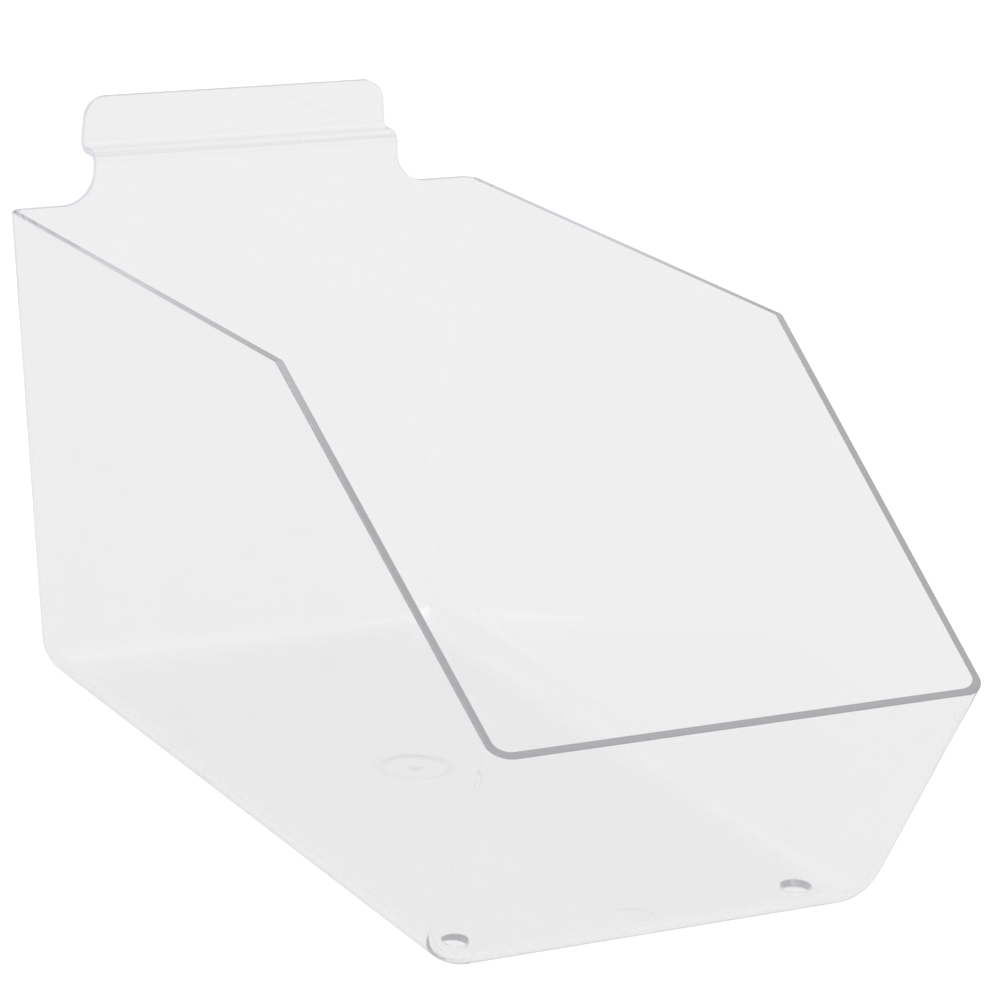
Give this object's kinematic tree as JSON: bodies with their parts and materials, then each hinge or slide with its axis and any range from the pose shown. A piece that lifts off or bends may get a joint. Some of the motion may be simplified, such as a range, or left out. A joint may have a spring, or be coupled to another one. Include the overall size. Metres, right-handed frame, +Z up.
{
  "type": "dump bin",
  "caption": "Clear moulded dump bin with leaning walls, a rim that drops to a low front, and a stepped tongue at the back that hooks into a slatwall groove.",
  "frame": {"origin": "middle of the footprint's bounding box, on the underside of the floor", "axes": "+X to the right seen from the front, +Y from the low front to the hanging tongue, +Z up"},
  "size_m": [0.14, 0.279, 0.1563],
  "materials": {
    "clear_plastic": "clear, glossy on both faces"
  },
  "bodies": {
    "root": {"floor": "clear_plastic", "front_wall": "clear_plastic", "left_wall": "clear_plastic", "right_wall": "clear_plastic", "back_wall": "clear_plastic", "front_left_corner": "clear_plastic", "front_right_corner": "clear_plastic", "back_left_corner": "clear_plastic", "back_right_corner": "clear_plastic", "hanger_neck": "clear_plastic", "hanger_joggle": "clear_plastic", "hanger_tongue": "clear_plastic"}
  },
  "joints": []
}
